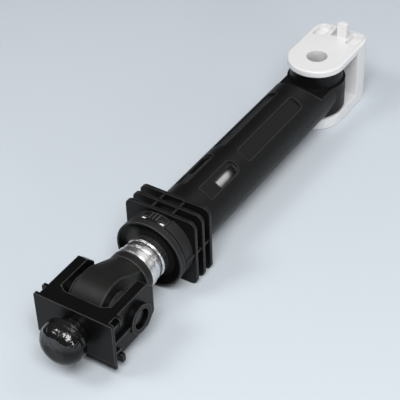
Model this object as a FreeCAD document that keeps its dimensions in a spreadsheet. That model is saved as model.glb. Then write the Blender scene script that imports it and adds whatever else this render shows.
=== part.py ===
import FreeCAD, Part
import math
import os
from types import SimpleNamespace

import Sketcher
from FreeCAD import Vector

# Friction damper of a washing machine, lying on its side. The origin is in the middle of the clevis
# bore, X runs along the damper towards the clevis and Z along the clevis bore. Sizes are in mm.
SIZES = {
    # fits shared by the pieces
    "running_clearance": 0.08,
    "fit_clearance": 0.03,
    "joint_gap": 0.3,
    # housing tube and its closed end
    "tube_length": 143.4,
    "tube_wall": 3.0,
    "tube_end": 30.0,
    "end_wall": 5.0,
    # eye on the closed end
    "eye_radius": 16.6,
    "eye_top": 17.6,
    "eye_bottom": 13.8,
    "belt_lip": 1.6,
    "belt_top": 7.6,
    "belt_bottom": 11.3,
    "shoulder_radius": 17.5,
    # friction chamber, fins and collar at the mouth
    "chamber_step": 1.7,
    "chamber_wall": 2.3,
    "collar_step": 2.0,
    "collar_length": 7.6,
    "taper_length": 3.0,
    "fin_count": 3,
    "fin_pitch": 7.0,
    "fin_thickness": 1.8,
    "fin_side_overhang": 4.0,
    "fin_top_overhang": 3.25,
    "fin_corner": 4.5,
    "rib_thickness": 1.2,
    "rib_drop": 0.8,
    "top_rib_spread": 13.0,
    # panels and windows beside the top and bottom lines of the tube
    "window_angle": 30.0,
    "panel_width": 9.2,
    "panel_depth": 1.2,
    "panel_start": 10.0,
    "panel_gap": 8.8,
    "panel_corner": 2.0,
    "recess_gap": 16.1,
    "recess_length": 30.7,
    "recess_corner": 3.6,
    "hole_inset": 0.9,
    "hole_length": 18.3,
    "hole_width": 5.6,
    "hole_margin": 0.4,
    "hole_corner": 2.2,
    # mouth cap and its tongues
    "cap_length": 4.3,
    "cap_lip": 0.5,
    "cap_rim": 1.0,
    "seam_width": 0.6,
    "seam_depth": 0.9,
    "dish_depth": 2.2,
    "dish_slope": 3.0,
    "wiper_wall": 3.0,
    "wiper_depth": 0.8,
    "wiper_rise": 1.8,
    "tongue_angle": 45.0,
    "tongue_thickness": 1.8,
    "tongue_length": 6.6,
    "slit_angle": 1.4,
    # guide bush and lining
    "bush_length": 9.0,
    "lug_spread": 11.0,
    "lug_width": 2.6,
    "lug_length": 1.9,
    "lug_drop": 0.3,
    # rod tube and piston ring
    "rod_radius": 12.5,
    "rod_wall": 1.2,
    "ring_wall": 2.0,
    "ring_length": 12.0,
    "ring_seat_depth": 0.5,
    "ring_split": 1.5,
    "ring_inset": 2.0,
    "rest_gap": 13.0,
    "exposed_length": 15.3,
    "bead_inset": 1.6,
    "bead_width": 3.2,
    "bead_rise": 0.6,
    "groove_pitch": 4.8,
    "groove_width": 2.4,
    "groove_depth": 0.7,
    "groove_round": 0.45,
    # knuckle of the rod end
    "shank_length": 4.8,
    "shank_lip": 0.8,
    "arm_start": 5.0,
    "arm_lip": 0.3,
    "spigot_length": 18.0,
    "knuckle_reach": 26.8,
    "knuckle_radius": 17.5,
    "knuckle_width": 19.4,
    "knuckle_round": 0.8,
    # pivot
    "pin_radius": 4.5,
    "pin_recess": 2.2,
    "pin_chamfer": 0.6,
    "sleeve_wall": 3.4,
    "sleeve_length": 8.6,
    "flange_lip": 2.0,
    "flange_thickness": 5.6,
    # foot bracket
    "socket_gap": 1.5,
    "socket_wall": 5.4,
    "deck_edge": 15.3,
    "deck_corner": 6.0,
    "cheek_wall": 6.0,
    "cheek_top": 14.3,
    "cheek_bottom": 13.6,
    "cheek_reach": 15.0,
    "cheek_top_cut": 5.0,
    "cheek_bottom_cut": 6.0,
    "plate_thickness": 2.0,
    "plate_groove": 5.0,
    "plate_overhang": 2.9,
    "plate_bottom": 16.9,
    "plate_corner": 1.2,
    "clip_height": 5.6,
    "toe_height": 4.5,
    "toe_setback": 1.0,
    "web_thickness": 1.2,
    "web_drop": 0.6,
    "hub_wall": 2.6,
    "hub_height": 3.3,
    "hub_recess": 1.4,
    # foot plug
    "nose_radius": 7.0,
    "nose_length": 8.0,
    "plug_wall": 5.8,
    "plug_neck": 1.6,
    "plug_neck_length": 5.8,
    "plug_base_round": 0.5,
    "plug_length": 17.6,
    "plug_round": 8.0,
    # clevis
    "bore_radius": 6.5,
    "trunnion_wall": 2.5,
    "trunnion_length": 7.8,
    "clevis_radius": 18.3,
    "clevis_plate": 4.0,
    "clevis_play": 0.15,
    "swing_gap": 2.2,
    "block_length": 17.0,
    "block_corner": 8.5,
    "block_wall": 2.6,
    "core_depth": 3.2,
    "core_corner": 1.5,
    "tab_width": 6.4,
    "tab_thickness": 3.0,
    "tab_rise": 10.4,
    "tab_round": 1.6,
    "tab_offset": 3.2,
    "notch_width": 4.6,
    "notch_length": 11.5,
    "clevis_round": 1.0,
}

doc = FreeCAD.newDocument("shock_absorber")
sheet = doc.addObject("Spreadsheet::Sheet", "Sizes")
for row, (alias, number) in enumerate(SIZES.items(), start=1):
    sheet.set(f"A{row}", alias)
    sheet.set(f"B{row}", str(number))
    sheet.setAlias(f"B{row}", alias)
doc.recompute()


class Size:
    """A size of the sheet, or a formula of several, known as text and as a number."""

    def __init__(self, text, value):
        self.text = text
        self.value = value

    def joined(self, sign, other, value):
        return Size(f"({self.text} {sign} {as_size(other).text})", value)

    def __add__(self, other):
        return self.joined("+", other, self.value + as_size(other).value)

    def __sub__(self, other):
        return self.joined("-", other, self.value - as_size(other).value)

    def __mul__(self, other):
        return self.joined("*", other, self.value * as_size(other).value)

    def __truediv__(self, other):
        return self.joined("/", other, self.value / as_size(other).value)

    def __neg__(self):
        return Size(f"(0 - {self.text})", -self.value)


def as_size(thing):
    """Take a formula as it is, and a plain number as a formula of itself."""
    if isinstance(thing, Size):
        return thing
    return Size(str(thing), thing)


def rise_at(radius, aside):
    """Height of a circle at a distance aside of its centre."""
    text = f"sqrt({radius.text} * {radius.text} - {aside.text} * {aside.text})"
    return Size(text, math.sqrt(radius.value ** 2 - aside.value ** 2))


S = SimpleNamespace(**{alias: Size(f"Sizes.{alias}", sheet.get(alias)) for alias in SIZES})

# Radii and places that follow from the sizes
bore = S.rod_radius + S.ring_wall
tube_radius = bore + S.tube_wall
chamber = bore + S.chamber_step
root_radius = chamber + S.chamber_wall
collar_radius = root_radius + S.collar_step
cap_radius = collar_radius + S.cap_lip
belt_radius = S.eye_radius + S.belt_lip
trunnion_radius = S.bore_radius + S.trunnion_wall
fin_front = S.tube_end + S.tube_length
fins_end = fin_front - (S.fin_count - 1) * S.fin_pitch - S.fin_thickness
mouth = fin_front + S.collar_length
cap_back = mouth + S.joint_gap
cap_front = cap_back + S.cap_length
rod_front = cap_front + S.exposed_length
rod_back = S.tube_end + S.end_wall + S.rest_gap
pivot = rod_front + S.knuckle_reach
plate_front = pivot + S.knuckle_radius + S.socket_gap + S.socket_wall
sleeve_bore = S.pin_radius + S.running_clearance
sleeve_radius = sleeve_bore + S.sleeve_wall
knuckle_side = S.knuckle_width / 2
slot_side = knuckle_side + S.flange_thickness + S.joint_gap
cheek_side = slot_side + S.cheek_wall
plate_side = cheek_side + S.plate_overhang
hub_side = cheek_side + S.hub_height
fork_gap = S.eye_top + S.clevis_play
fork_floor = S.eye_bottom + S.clevis_play
fork_top = fork_gap + S.clevis_plate

# Sketcher's numbers for the origin, its two axes and the ends of a line or arc
ORIGIN = -1
H_AXIS = -1
V_AXIS = -2
START = 1
END = 2
CENTRE = 3
UP = Vector(0, 0, 1)


def new_body(name):
    body = doc.addObject("PartDesign::Body", name)
    body.Label = name
    return body


def origin_feature(body, role):
    for feature in body.Origin.OriginFeatures:
        if feature.Role == role:
            return feature
    raise ValueError(role)


def sketch_on(body, role, lift=0, aside=0):
    """Start a sketch on an origin plane, lifted off it, with its own origin moved aside."""
    sketch = body.newObject("Sketcher::SketchObject", body.Name + "_sketch")
    sketch.AttachmentSupport = [(origin_feature(body, role), "")]
    sketch.MapMode = "FlatFace"
    sketch.setExpression("AttachmentOffset.Base.z", as_size(lift).text)
    sketch.setExpression("AttachmentOffset.Base.x", as_size(aside).text)
    return sketch


def pin(sketch, part, end, x, y):
    """Hold one point of a sketch at x, y."""
    for kind, axis, place in (("DistanceX", V_AXIS, as_size(x)), ("DistanceY", H_AXIS, as_size(y))):
        if place.text == "0":
            sketch.addConstraint(Sketcher.Constraint("PointOnObject", part, end, axis))
            continue
        if place.value < 0:
            place = -place
            rule = Sketcher.Constraint(kind, part, end, ORIGIN, START, place.value)
        else:
            rule = Sketcher.Constraint(kind, ORIGIN, START, part, end, place.value)
        index = sketch.addConstraint(rule)
        sketch.setExpression(f"Constraints[{index}]", place.text)


def set_radius(sketch, part, radius):
    index = sketch.addConstraint(Sketcher.Constraint("Radius", part, radius.value))
    sketch.setExpression(f"Constraints[{index}]", radius.text)


def circle(sketch, x, y, radius):
    middle = Vector(as_size(x).value, as_size(y).value, 0)
    ring = sketch.addGeometry(Part.Circle(middle, UP, radius.value))
    pin(sketch, ring, CENTRE, x, y)
    set_radius(sketch, ring, radius)


def outline(sketch, corners):
    """Draw a closed outline. A corner is (x, y), or (x, y, radius) where it is rounded."""
    points = [Vector(as_size(corner[0]).value, as_size(corner[1]).value, 0) for corner in corners]
    count = len(points)
    arrivals = []
    departures = []
    middles = []
    for i, point in enumerate(points):
        back = (points[i - 1] - point).normalize()
        ahead = (points[(i + 1) % count] - point).normalize()
        half_turn = back.getAngle(ahead) / 2
        radius = corners[i][2].value if len(corners[i]) > 2 else 0.0
        reach = radius / math.tan(half_turn)
        arrivals.append(point + back * reach)
        departures.append(point + ahead * reach)
        middles.append(point + (back + ahead) * (radius / math.sin(half_turn) / (2 * math.cos(half_turn))))
    lines = []
    for i in range(count):
        side = Part.LineSegment(departures[i], arrivals[(i + 1) % count])
        lines.append(sketch.addGeometry(side))
    for i, corner in enumerate(corners):
        before = lines[i - 1]
        after = lines[i]
        if len(corner) == 2:
            sketch.addConstraint(Sketcher.Constraint("Coincident", before, END, after, START))
            pin(sketch, after, START, corner[0], corner[1])
        else:
            ends = (arrivals[i], departures[i])
            round_corner(sketch, before, after, corner, points[i], middles[i], ends)


def round_corner(sketch, before, after, corner, point, middle, ends):
    """Join two lines of an outline by an arc whose sharp corner is held at the given place."""
    angles = [math.atan2(end.y - middle.y, end.x - middle.x) for end in ends]
    arrives_first = (angles[1] - angles[0]) % (2 * math.pi) < math.pi
    if not arrives_first:
        angles.reverse()
    ring = Part.Circle(middle, UP, corner[2].value)
    arc = sketch.addGeometry(Part.ArcOfCircle(ring, angles[0], angles[1]))
    arrival, departure = (START, END) if arrives_first else (END, START)
    sketch.addConstraint(Sketcher.Constraint("Tangent", before, END, arc, arrival))
    sketch.addConstraint(Sketcher.Constraint("Tangent", arc, departure, after, START))
    set_radius(sketch, arc, corner[2])
    tip = sketch.addGeometry(Part.Point(point), True)
    pin(sketch, tip, START, corner[0], corner[1])
    sketch.addConstraint(Sketcher.Constraint("PointOnObject", tip, START, before))
    sketch.addConstraint(Sketcher.Constraint("PointOnObject", tip, START, after))


def rectangle(sketch, x0, x1, y0, y1, *radius):
    outline(sketch, [(x0, y0, *radius), (x1, y0, *radius), (x1, y1, *radius), (x0, y1, *radius)])


def pad(sketch, length, symmetric=False, reverse=False):
    """Raise a sketch by a length, to one side or about its plane."""
    feature = sketch.getParentGeoFeatureGroup().newObject("PartDesign::Pad", sketch.Name + "_pad")
    feature.Profile = sketch
    feature.setExpression("Length", length.text)
    feature.SideType = "Symmetric" if symmetric else "One side"
    feature.Reversed = reverse
    return feature


def cut(sketch, length=None, symmetric=False, reverse=False):
    """Sink a sketch below its plane, or above it if reversed, by a length or all the way."""
    body = sketch.getParentGeoFeatureGroup()
    doc.recompute()
    before = body.Shape.Volume
    feature = body.newObject("PartDesign::Pocket", sketch.Name + "_cut")
    feature.Profile = sketch
    if length is None:
        feature.Type = "ThroughAll"
    else:
        feature.setExpression("Length", length.text)
    feature.SideType = "Symmetric" if symmetric else "One side"
    feature.Reversed = reverse
    doc.recompute()
    if body.Shape.Volume >= before:
        raise ValueError(f"{feature.Name} cuts nothing")
    return feature


def revolve(sketch, axis="H_Axis", kind="Revolution", angle=None):
    """Turn a sketch round one of its own axes, by a whole turn or an angle about its plane."""
    body = sketch.getParentGeoFeatureGroup()
    feature = body.newObject("PartDesign::" + kind, sketch.Name + "_turn")
    feature.Profile = sketch
    feature.ReferenceAxis = (sketch, [axis])
    if angle is not None:
        feature.setExpression("Angle", angle.text)
        feature.Midplane = True
    return feature


def turned(name, corners):
    """A piece turned about the damper's axis, from corners of distance ahead of the eye and radius."""
    body = new_body(name)
    sketch = sketch_on(body, "XZ_Plane")
    outline(sketch, [(-corner[0], *corner[1:]) for corner in corners])
    revolve(sketch)
    return body


def turned_on_pivot(name, corners):
    """A piece turned about the pivot, from corners of radius and distance from the middle plane."""
    body = new_body(name)
    sketch = sketch_on(body, "XY_Plane", aside=-pivot)
    outline(sketch, corners)
    revolve(sketch, axis="V_Axis")
    return body


def round_edges(body, radius, chosen):
    """Round the edges of a body that a test picks by their middle points."""
    doc.recompute()
    base = body.Tip
    names = []
    for i, edge in enumerate(base.Shape.Edges, start=1):
        if chosen(edge):
            names.append(f"Edge{i}")
    fillet = body.newObject("PartDesign::Fillet", body.Name + "_round")
    fillet.Base = (base, names)
    fillet.setExpression("Radius", radius.text)
    doc.recompute()


# Housing: one revolved shell for the tube, chamber and collar, then the eye, fins and windows
housing = new_body("housing")
shell = sketch_on(housing, "XZ_Plane")
outline(shell, [
    (0, 0),
    (0, tube_radius),
    (S.taper_length - fins_end, tube_radius),
    (-fins_end, root_radius),
    (-fin_front, root_radius),
    (-fin_front, collar_radius),
    (-mouth, collar_radius),
    (-mouth, chamber),
    (-fins_end, chamber),
    (-fins_end, bore),
    (-(S.tube_end + S.end_wall), bore),
    (-(S.tube_end + S.end_wall), 0),
])
revolve(shell)

# Above and below the neck the tube is cut away up to a rounded shoulder
shoulder_side = belt_radius + S.joint_gap
for upward in (True, False):
    relief = sketch_on(housing, "XY_Plane", lift=S.belt_top if upward else -S.belt_bottom)
    outline(relief, [
        (-S.tube_end, -shoulder_side, S.shoulder_radius),
        (S.end_wall, -shoulder_side),
        (S.end_wall, shoulder_side),
        (-S.tube_end, shoulder_side, S.shoulder_radius),
    ])
    cut(relief, tube_radius, reverse=upward)

# The eye is an upright barrel with a wider belt at the height of the neck
eye_rings = (
    (S.eye_radius, S.eye_bottom, S.eye_top),
    (belt_radius, S.belt_bottom, S.belt_top),
)
for radius, bottom, top in eye_rings:
    barrel = sketch_on(housing, "XY_Plane", lift=-bottom)
    circle(barrel, 0, 0, radius)
    pad(barrel, bottom + top)
eye_bore = sketch_on(housing, "XY_Plane")
circle(eye_bore, 0, 0, trunnion_radius + S.running_clearance)
cut(eye_bore, S.eye_top * 4, symmetric=True)

# Fins: rounded squares pierced by the chamber, repeated along the axis
fin = sketch_on(housing, "YZ_Plane", lift=-fin_front)
fin_side = root_radius + S.fin_side_overhang
fin_top = root_radius + S.fin_top_overhang
rib_root = chamber + S.chamber_wall / 2
rectangle(fin, -fin_side, fin_side, -fin_top, fin_top, S.fin_corner)
circle(fin, 0, 0, rib_root)
fin_pad = pad(fin, S.fin_thickness)
fins = housing.newObject("PartDesign::LinearPattern", "housing_fins")
fins.Originals = [fin_pad]
fins.Direction = (origin_feature(housing, "X_Axis"), [""])
fins.Mode = "Spacing"
fins.setExpression("Offset", S.fin_pitch.text)
fins.setExpression("Occurrences", S.fin_count.text)
housing.Tip = fins

# Ribs tie the fins together: two above, two below and one on each side
for upward in (True, False):
    level = rib_root if upward else -rib_root
    for side in (-1, 1):
        rib = sketch_on(housing, "XY_Plane", lift=level - S.rib_drop if upward else level + S.rib_drop)
        middle = S.top_rib_spread / 2 * side
        rectangle(rib, -fin_front, -fins_end, middle - S.rib_thickness / 2, middle + S.rib_thickness / 2)
        pad(rib, fin_top - rib_root, reverse=not upward)
for side in (-1, 1):
    rib = sketch_on(housing, "XY_Plane")
    rectangle(rib, S.rib_drop - mouth, -fins_end, rib_root * side, (fin_side - S.rib_drop) * side)
    pad(rib, S.rib_thickness, symmetric=True)

# Panels and windows stand beside the top and bottom lines, mirrored left to right and top to bottom
recess_far = fins_end - S.recess_gap
recess_near = recess_far - S.recess_length
panel_far = recess_near - S.panel_gap
panel_near = S.tube_end + S.panel_start
hole_near = recess_near + S.hole_inset
panel_side = S.panel_width / 2
floor_level = tube_radius - S.panel_depth


def sketch_on_flank(tilt):
    """Start a sketch on a plane that is tilted about the axis and lies on a panel's floor."""
    sketch = sketch_on(housing, "XY_Plane")
    sketch.AttachmentOffset = FreeCAD.Placement(Vector(0, 0, 0), FreeCAD.Rotation(1, 0, 0, 0))
    sketch.setExpression("AttachmentOffset.Base.y", f"0 - {floor_level.text} * sin({tilt.text})")
    sketch.setExpression("AttachmentOffset.Base.z", f"{floor_level.text} * cos({tilt.text})")
    sketch.AttachmentOffset.Rotation.Axis = Vector(1, 0, 0)
    sketch.setExpression("AttachmentOffset.Rotation.Axis.x", "1")
    sketch.setExpression("AttachmentOffset.Rotation.Axis.y", "0")
    sketch.setExpression("AttachmentOffset.Rotation.Axis.z", "0")
    sketch.setExpression("AttachmentOffset.Rotation.Angle", tilt.text)
    return sketch


flanks = (
    (S.window_angle, -1),
    (-S.window_angle, 1),
    (as_size(180) - S.window_angle, 1),
    (S.window_angle - 180, -1),
)
for tilt, low_side in flanks:
    panel = sketch_on_flank(tilt)
    rectangle(panel, -panel_far, -panel_near, -panel_side, panel_side, S.panel_corner)
    cut(panel, tube_radius, reverse=True)
    recess = sketch_on_flank(tilt)
    outline(recess, [
        (-recess_far, -panel_side),
        (-recess_near, -panel_side, S.recess_corner),
        (-recess_near, panel_side, S.recess_corner),
        (-recess_far, panel_side),
    ])
    cut(recess, tube_radius, reverse=True)
    hole = sketch_on_flank(tilt)
    hole_edge = panel_side - S.hole_margin
    hole_far = hole_near + S.hole_length
    outline(hole, [
        (-hole_far, (hole_edge - S.hole_width) * low_side),
        (-hole_near, (hole_edge - S.hole_width) * low_side),
        (-hole_near, hole_edge * low_side, S.hole_corner),
        (-hole_far, hole_edge * low_side),
    ])
    cut(hole, S.tube_wall)

# Seats for the cap's tongues and slots for the bush's lugs, open to the mouth
seat_radius = cap_radius - S.tongue_thickness - S.joint_gap
lug_back = mouth - S.fit_clearance - S.lug_length
for sign in (1, -1):
    seat = sketch_on(housing, "XZ_Plane")
    rectangle(seat, -mouth, -fin_front, seat_radius * sign, (cap_radius + S.cap_lip) * sign)
    revolve(seat, kind="Groove", angle=S.tongue_angle + S.slit_angle * 2)
    for side in (-1, 1):
        slot = sketch_on(housing, "XY_Plane")
        middle = S.lug_spread / 2 * side
        half = S.lug_width / 2 + S.joint_gap
        rectangle(slot, -(mouth + S.cap_length), S.joint_gap - lug_back, middle - half, middle + half)
        cut(slot, reverse=sign > 0)

# Mouth cap: a ring with a dished front, a seam along its back edge and two tongues over the collar
cap_hole = S.rod_radius + S.joint_gap
wiper_radius = S.rod_radius + S.wiper_wall
dish_floor = cap_front - S.dish_depth
wiper_floor = dish_floor - S.wiper_depth
rim_inner = cap_radius - S.cap_rim
seam_front = cap_back + S.seam_width
seam_floor = cap_radius - S.seam_depth
mouth_cap = turned("mouth_cap", [
    (cap_back, cap_hole),
    (cap_back, seam_floor),
    (seam_front, seam_floor),
    (seam_front, cap_radius),
    (cap_front, cap_radius),
    (cap_front, rim_inner),
    (dish_floor, rim_inner - S.dish_slope),
    (dish_floor, wiper_radius + S.fit_clearance),
    (wiper_floor, wiper_radius + S.fit_clearance),
    (wiper_floor, cap_hole),
])
for sign in (1, -1):
    tongue = sketch_on(mouth_cap, "XZ_Plane")
    tongue_root = (cap_radius - S.tongue_thickness) * sign
    tongue_start = -(seam_front + S.joint_gap)
    rectangle(tongue, tongue_start, S.tongue_length - cap_back, tongue_root, cap_radius * sign)
    revolve(tongue, angle=S.tongue_angle)
for sign in (1, -1):
    for side in (-1, 1):
        window = sketch_on(mouth_cap, "XY_Plane", lift=chamber * sign)
        middle = S.lug_spread / 2 * side
        half = S.lug_width / 2 + S.joint_gap
        rectangle(window, -mouth, S.joint_gap - lug_back, middle - half, middle + half)
        cut(window, reverse=sign > 0)

# Lip ring that wipes the rod
dust_wiper = turned("dust_wiper", [
    (wiper_floor, S.rod_radius + S.running_clearance),
    (wiper_floor, wiper_radius),
    (dish_floor, wiper_radius),
    (dish_floor + S.wiper_rise, S.rod_radius + S.running_clearance + S.wiper_depth),
    (dish_floor + S.wiper_rise, S.rod_radius + S.running_clearance),
])

# White slide bush with four snap lugs
bush_front = mouth - S.fit_clearance
bush_back = mouth - S.bush_length
guide_bush = turned("guide_bush", [
    (bush_back, S.rod_radius + S.running_clearance),
    (bush_back, chamber - S.fit_clearance),
    (bush_front, chamber - S.fit_clearance),
    (bush_front, S.rod_radius + S.running_clearance),
])
lug_root = S.rod_radius + S.ring_wall / 2
for upward in (True, False):
    for side in (-1, 1):
        lug = sketch_on(guide_bush, "XY_Plane", lift=lug_root if upward else -lug_root)
        middle = S.lug_spread / 2 * side
        rectangle(lug, -bush_front, -lug_back, middle - S.lug_width / 2, middle + S.lug_width / 2)
        pad(lug, cap_radius - S.lug_drop - S.lug_width / 2 - lug_root, reverse=not upward)

# Foam sleeve between the bush and the chamber's shoulder
friction_lining = turned("friction_lining", [
    (fins_end + S.fit_clearance, S.rod_radius + S.running_clearance),
    (fins_end + S.fit_clearance, chamber - S.fit_clearance),
    (bush_back - S.fit_clearance, chamber - S.fit_clearance),
    (bush_back - S.fit_clearance, S.rod_radius + S.running_clearance),
])

# Rod tube: grooves are rolled into its front to hold the knuckle's spigot, and a bead stops it
rod_bore = S.rod_radius - S.rod_wall
groove_middles = [rod_front - S.bead_inset - S.bead_width - S.groove_width / 2]
groove_middles.append(groove_middles[0] - S.groove_pitch)
ring_seat = S.rod_radius - S.ring_seat_depth
ring_front = rod_back + S.ring_inset + S.ring_length
bead_front = rod_front - S.bead_inset
bead_back = bead_front - S.bead_width


def rolled(radius, grow=0):
    """Steps of the two rolled grooves at a radius of the tube's wall, front groove first."""
    steps = []
    half = S.groove_width / 2
    for middle in groove_middles:
        steps.append((middle + half + grow, radius))
        steps.append((middle + half / 2 + grow, radius - S.groove_depth))
        steps.append((middle - half / 2 - grow, radius - S.groove_depth))
        steps.append((middle - half - grow, radius))
    return steps


outside = [
    (rod_front, S.rod_radius),
    (bead_front, S.rod_radius + S.bead_rise, S.groove_round),
    (bead_back, S.rod_radius + S.bead_rise, S.groove_round),
]
outside += [(*step, S.groove_round) for step in rolled(S.rod_radius)]
outside += [
    (ring_front, S.rod_radius),
    (ring_front, ring_seat),
    (rod_back + S.ring_inset, ring_seat),
    (rod_back + S.ring_inset, S.rod_radius),
    (rod_back, S.rod_radius),
    (rod_back, rod_bore),
]
inside = list(reversed(rolled(rod_bore)))
rod_tube = turned("rod_tube", outside + inside + [(rod_front, rod_bore)])

# Split ring in its seat on the rod's inner end
piston_ring = turned("piston_ring", [
    (rod_back + S.ring_inset + S.fit_clearance, ring_seat + S.running_clearance),
    (rod_back + S.ring_inset + S.fit_clearance, bore - S.running_clearance),
    (ring_front - S.fit_clearance, bore - S.running_clearance),
    (ring_front - S.fit_clearance, ring_seat + S.running_clearance),
])
split = sketch_on(piston_ring, "XY_Plane")
rectangle(split, -(ring_front + S.ring_inset), -rod_back, -(S.ring_split / 2), S.ring_split / 2)
cut(split)

# Knuckle: a spigot in the rod tube, a flange, a lofted arm with flat sides and a round eye
spigot = rod_bore - S.fit_clearance
shank_radius = S.rod_radius + S.shank_lip
shank_front = rod_front + S.shank_length
spigot_back = rod_front - S.spigot_length
shank_profile = [
    (shank_front, 0),
    (shank_front, shank_radius),
    (rod_front, shank_radius),
    (rod_front, spigot),
]
shank_profile += rolled(spigot, S.fit_clearance)
shank_profile += [(spigot_back, spigot), (spigot_back, 0)]


def flat_sided_circle(sketch, radius, side):
    """Draw a circle about the sketch's origin that is cut flat at a distance to the left and right."""
    rise = rise_at(radius, side).value
    slant = math.atan2(rise, side.value)
    ring = Part.Circle(Vector(0, 0, 0), UP, radius.value)
    right = sketch.addGeometry(Part.LineSegment(Vector(side.value, -rise, 0), Vector(side.value, rise, 0)))
    over = sketch.addGeometry(Part.ArcOfCircle(ring, slant, math.pi - slant))
    left = sketch.addGeometry(Part.LineSegment(Vector(-side.value, rise, 0), Vector(-side.value, -rise, 0)))
    under = sketch.addGeometry(Part.ArcOfCircle(ring, math.pi + slant, 2 * math.pi - slant))
    for before, after in ((right, over), (over, left), (left, under), (under, right)):
        sketch.addConstraint(Sketcher.Constraint("Coincident", before, END, after, START))
    for arc in (over, under):
        sketch.addConstraint(Sketcher.Constraint("Coincident", arc, CENTRE, ORIGIN, START))
        set_radius(sketch, arc, radius)
    for line in (right, left):
        sketch.addConstraint(Sketcher.Constraint("Vertical", line))
    for first, last in (((ORIGIN, START), (right, START)), ((left, START), (ORIGIN, START))):
        index = sketch.addConstraint(Sketcher.Constraint("DistanceX", *first, *last, side.value))
        sketch.setExpression(f"Constraints[{index}]", side.text)


def on_knuckle_rim(edge):
    """True for the long edges along the knuckle's flat sides, as far as the flange."""
    ends = [vertex.Point for vertex in edge.Vertexes]
    flat = all(abs(abs(end.y) - knuckle_side.value) < S.fit_clearance.value for end in ends)
    at_flange = all(abs(end.x + shank_front.value) < S.fit_clearance.value for end in ends)
    level = abs(ends[0].y - ends[-1].y) < S.fit_clearance.value
    return flat and level and not at_flange


rod_end = new_body("rod_end")
knuckle = sketch_on(rod_end, "XZ_Plane", aside=-pivot)
circle(knuckle, 0, 0, S.knuckle_radius)
pad(knuckle, S.knuckle_width, symmetric=True)
arm_height = rise_at(S.knuckle_radius, S.arm_start)
arm_back = sketch_on(rod_end, "YZ_Plane", lift=S.arm_start - pivot)
rectangle(arm_back, -knuckle_side, knuckle_side, -arm_height, arm_height)
arm_front = sketch_on(rod_end, "YZ_Plane", lift=-shank_front)
flat_sided_circle(arm_front, shank_radius - S.arm_lip, knuckle_side)
arm = rod_end.newObject("PartDesign::AdditiveLoft", "rod_end_arm")
arm.Profile = arm_back
arm.Sections = [arm_front]
arm.Ruled = True
shank = sketch_on(rod_end, "XZ_Plane")
outline(shank, [(-ahead, radius) for ahead, radius in shank_profile])
revolve(shank)
round_edges(rod_end, S.knuckle_round, on_knuckle_rim)
knuckle_bore = sketch_on(rod_end, "XZ_Plane", aside=-pivot)
circle(knuckle_bore, 0, 0, sleeve_radius + S.fit_clearance)
cut(knuckle_bore, S.knuckle_width * 2, symmetric=True)

# Flanged bushes, pressed in from both sides, and the pin through them
for name, sign in (("bush_left", 1), ("bush_right", -1)):
    turned_on_pivot(name, [
        (sleeve_bore, (knuckle_side - S.sleeve_length) * sign),
        (sleeve_bore, (knuckle_side + S.flange_thickness) * sign),
        (sleeve_radius + S.flange_lip, (knuckle_side + S.flange_thickness) * sign),
        (sleeve_radius + S.flange_lip, knuckle_side * sign),
        (sleeve_radius, knuckle_side * sign),
        (sleeve_radius, (knuckle_side - S.sleeve_length) * sign),
    ])
pin_end = hub_side - S.pin_recess
turned_on_pivot("pivot_pin", [
    (0, -pin_end),
    (S.pin_radius - S.pin_chamfer, -pin_end),
    (S.pin_radius, S.pin_chamfer - pin_end),
    (S.pin_radius, pin_end - S.pin_chamfer),
    (S.pin_radius - S.pin_chamfer, pin_end),
    (0, pin_end),
])

# Foot bracket: block with cheeks, a front plate, clips behind it, webs and hubs, then the slot
foot_bracket = new_body("foot_bracket")
block_front = plate_front - S.plate_thickness
cheek_back = pivot - S.cheek_reach
block = sketch_on(foot_bracket, "XZ_Plane")
outline(block, [
    (-block_front, -S.cheek_bottom),
    (-(cheek_back + S.cheek_bottom_cut), -S.cheek_bottom),
    (-cheek_back, S.cheek_bottom_cut - S.cheek_bottom),
    (-cheek_back, S.cheek_top - S.cheek_top_cut),
    (-(cheek_back + S.cheek_top_cut), S.cheek_top),
    (-block_front, S.cheek_top),
])
pad(block, cheek_side * 2, symmetric=True)
second_plate = block_front - S.plate_groove
plates = (
    (plate_front, -S.plate_bottom, S.cheek_top),
    (second_plate, -S.plate_bottom, S.clip_height - S.plate_bottom),
    (second_plate, S.cheek_top - S.clip_height, S.cheek_top),
)
for front, bottom, top in plates:
    plate = sketch_on(foot_bracket, "YZ_Plane", lift=-front)
    rectangle(plate, -plate_side, plate_side, bottom, top, S.plate_corner)
    pad(plate, S.plate_thickness)
web_side = plate_side - S.web_drop
upper_web = S.cheek_top * 3 / 4
lower_web = S.cheek_bottom / 2
hub_radius = S.pin_radius + S.hub_recess + S.hub_wall
webs = (
    (upper_web, second_plate),
    (as_size(0), pivot + S.pin_radius),
    (-lower_web, second_plate),
)
for level, back in webs:
    web = sketch_on(foot_bracket, "XZ_Plane")
    half = S.web_thickness / 2
    rectangle(web, -block_front, -back, level - half, level + half)
    pad(web, web_side * 2, symmetric=True)
hub = sketch_on(foot_bracket, "XZ_Plane", aside=-pivot)
circle(hub, 0, 0, hub_radius)
pad(hub, hub_side * 2, symmetric=True)
slot = sketch_on(foot_bracket, "XY_Plane")
slot_back = cheek_back - S.cheek_reach
outline(slot, [
    (-(pivot + S.deck_edge), -slot_side, S.deck_corner),
    (-slot_back, -slot_side),
    (-slot_back, slot_side),
    (-(pivot + S.deck_edge), slot_side, S.deck_corner),
])
cut(slot, (S.cheek_top + S.plate_bottom) * 2, symmetric=True)
socket = sketch_on(foot_bracket, "XZ_Plane", aside=-pivot)
circle(socket, 0, 0, S.knuckle_radius + S.socket_gap)
cut(socket, slot_side * 2, symmetric=True)
pin_hole = sketch_on(foot_bracket, "XZ_Plane", aside=-pivot)
circle(pin_hole, 0, 0, S.pin_radius + S.fit_clearance)
cut(pin_hole, hub_side * 3, symmetric=True)
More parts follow.
